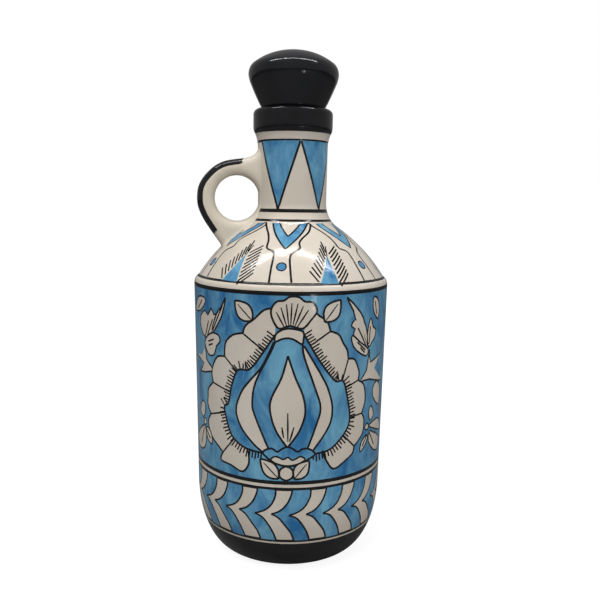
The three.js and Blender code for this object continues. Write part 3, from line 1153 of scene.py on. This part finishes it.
def spun(name, half, material):
    """Spins half a section, in millimetres, about the jug's axis."""
    mesh = bpy.data.meshes.new(name)
    corners = [Vector((r, 0, z)) * MM for r, z in half]
    mesh.from_pydata(corners, [(i, i + 1) for i in range(len(half) - 1)], [])
    piece = bpy.data.objects.new(name, mesh)
    bpy.context.scene.collection.objects.link(piece)
    bpy.ops.object.select_all(action="DESELECT")
    bpy.context.view_layer.objects.active = piece
    piece.select_set(True)
    bpy.ops.object.mode_set(mode="EDIT")
    bpy.ops.mesh.select_all(action="SELECT")
    bpy.ops.mesh.spin(steps=SPIN_STEPS, angle=2 * math.pi, center=(0, 0, 0), axis=(0, 0, 1))
    bpy.ops.mesh.select_all(action="SELECT")
    bpy.ops.mesh.remove_doubles(threshold=1e-6)
    bpy.ops.mesh.normals_make_consistent(inside=False)
    bpy.ops.object.mode_set(mode="OBJECT")
    mesh.materials.append(material)
    bpy.ops.object.shade_smooth_by_angle(angle=math.radians(50))
    print(name, len(mesh.polygons), "faces")
    return piece


WIDEST = (23.5, KNOB_FOOT + 17.0)
FLARE_END = (22.7, KNOB_FOOT + 13.4)
CROWN_START = (21.5, KNOB_TOP - 7.2)
knob_half = [(0.0, KNOB_FOOT + 11.6), (12.5, KNOB_FOOT + 11.5), (12.5, KNOB_FOOT), (16.1, KNOB_FOOT)]
knob_half += quarter((16.1, KNOB_FOOT), (16.9, KNOB_FOOT + 0.8), False, 4)
knob_half += bow((16.9, KNOB_FOOT + 0.8), (19.9, KNOB_FOOT + 6.6), FLARE_END, 8)
knob_half += bow(FLARE_END, (23.3, KNOB_FOOT + 15.2), WIDEST, 6)
knob_half += bow(WIDEST, (23.5, CROWN_START[1] - 2.0), CROWN_START, 8)
knob_half += bow(CROWN_START, (12.4, KNOB_TOP), (0.0, KNOB_TOP), 16)
knob = spun("stopper_knob_glazed", knob_half, black_glaze)
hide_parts("stopper_knob")
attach(knob, "stopper")

cork_low, cork_high = (corner.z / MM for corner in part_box("stopper_cork"))
cork_half = [(0.0, cork_low), (10.3, cork_low)]
cork_half += quarter((10.3, cork_low), (11.5, cork_low + 1.2), False, 4)
cork_half += [(12.1, 222.0), (12.6, LIP_TOP - 0.3), (12.2, LIP_TOP), (12.2, cork_high), (0.0, cork_high)]
cork = spun("stopper_cork_turned", cork_half, natural_cork)
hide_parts("stopper_cork")
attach(cork, "stopper")

# %% [markdown]
# ## Floor and light
# The photograph has a plain white ground. The floor and the world are white to the camera alone, so the
# glaze isn't washed out by them, and the floor's glow is dimmed near the foot, a painted shade round the jug
# that also lets the jug's rendered shadow show.
# Two large soft lamps light the jug and don't show in the glaze. Two small panes, low
# down, and a long strip overhead do.

# %% Floor and world


def shown_white(tree, shader, white):
    """Mixes in plain white where the camera looks straight at the surface."""
    path = tree.nodes.new("ShaderNodeLightPath")
    blend = tree.nodes.new("ShaderNodeMixShader")
    tree.links.new(path.outputs["Is Camera Ray"], blend.inputs["Fac"])
    tree.links.new(shader.outputs[0], blend.inputs[1])
    tree.links.new(white.outputs[0], blend.inputs[2])
    return blend


FLOOR_SIZE = 12.0
FLOOR_DROP = 0.0004  # keeps the floor clear of the foot
# painted shade: the floor's glow is dimmed to 0.9 near the foot and rises to 1 further out, on top of the
# rendered shadow
WHITENING = {"From Min": 0.12, "From Max": 0.45, "To Min": 0.9, "To Max": 1.0}  # metres, strength
bpy.ops.object.select_all(action="DESELECT")
bpy.ops.mesh.primitive_plane_add(size=FLOOR_SIZE, location=(0, 0, -FLOOR_DROP))
floor = bpy.context.object
floor.name = "floor"
floor_material = bpy.data.materials.new("floor_white")
floor_material.use_nodes = True
tree = floor_material.node_tree
tree.nodes.clear()
plain = add(tree, "ShaderNodeBsdfDiffuse", Color=(0.2, 0.2, 0.2, 1.0))
glow = add(tree, "ShaderNodeEmission", Color=(1.0, 1.0, 1.0, 1.0))
both = tree.nodes.new("ShaderNodeAddShader")
tree.links.new(plain.outputs[0], both.inputs[0])
tree.links.new(glow.outputs[0], both.inputs[1])
on_floor = tree.nodes.new("ShaderNodeTexCoord")
distance = add(tree, "ShaderNodeVectorMath", operation="LENGTH")
whiten = tree.nodes.new("ShaderNodeMapRange")
for socket, value in WHITENING.items():
    whiten.inputs[socket].default_value = value
tree.links.new(on_floor.outputs["Object"], distance.inputs[0])
tree.links.new(distance.outputs["Value"], whiten.inputs["Value"])
tree.links.new(whiten.outputs["Result"], glow.inputs["Strength"])
floor_out = tree.nodes.new("ShaderNodeOutputMaterial")
tree.links.new(shown_white(tree, plain, both).outputs[0], floor_out.inputs["Surface"])
floor.data.materials.append(floor_material)

world = bpy.data.worlds.new("studio")
bpy.context.scene.world = world
world.use_nodes = True
tree = world.node_tree
tree.nodes.clear()
soft = add(tree, "ShaderNodeBackground", Color=(1.0, 1.0, 1.0, 1.0), Strength=0.28)
bright = add(tree, "ShaderNodeBackground", Color=(1.0, 1.0, 1.0, 1.0), Strength=1.0)
world_out = tree.nodes.new("ShaderNodeOutputWorld")
tree.links.new(shown_white(tree, soft, bright).outputs[0], world_out.inputs["Surface"])

# %% Lamps


def lamp(name, place_m, aim_m, width, height, power):
    data = bpy.data.lights.new(name, "AREA")
    data.shape = "RECTANGLE"
    data.size, data.size_y = width, height
    data.energy = power
    light = bpy.data.objects.new(name, data)
    light.location = place_m
    light.rotation_euler = (Vector(aim_m) - Vector(place_m)).to_track_quat("-Z", "Y").to_euler()
    bpy.context.scene.collection.objects.link(light)
    return light


MIDDLE = (0, 0, 0.13)
PANE_X, PANE_APART = 0.373, 0.016
key = lamp("key_lamp", (-0.55, -0.75, 1.35), MIDDLE, 1.0, 0.8, 13.0)
fill_light = lamp("fill_lamp", (0.9, -1.2, 0.5), MIDDLE, 0.9, 0.9, 8.0)
for soft_lamp in (key, fill_light):
    soft_lamp.visible_glossy = False  # they light the glaze but don't show in it
for pane in (-1, 1):
    lamp("window_pane", (PANE_X + pane * PANE_APART, -0.753, 0.016), MIDDLE, 0.026, 0.085, 0.08)
lamp("overhead_strip", (0.0, -0.10, 1.0), MIDDLE, 1.3, 0.03, 4.0)

# %% Settings
bpy.context.scene.view_settings.view_transform = "Standard"
print("view", bpy.context.scene.view_settings.view_transform)
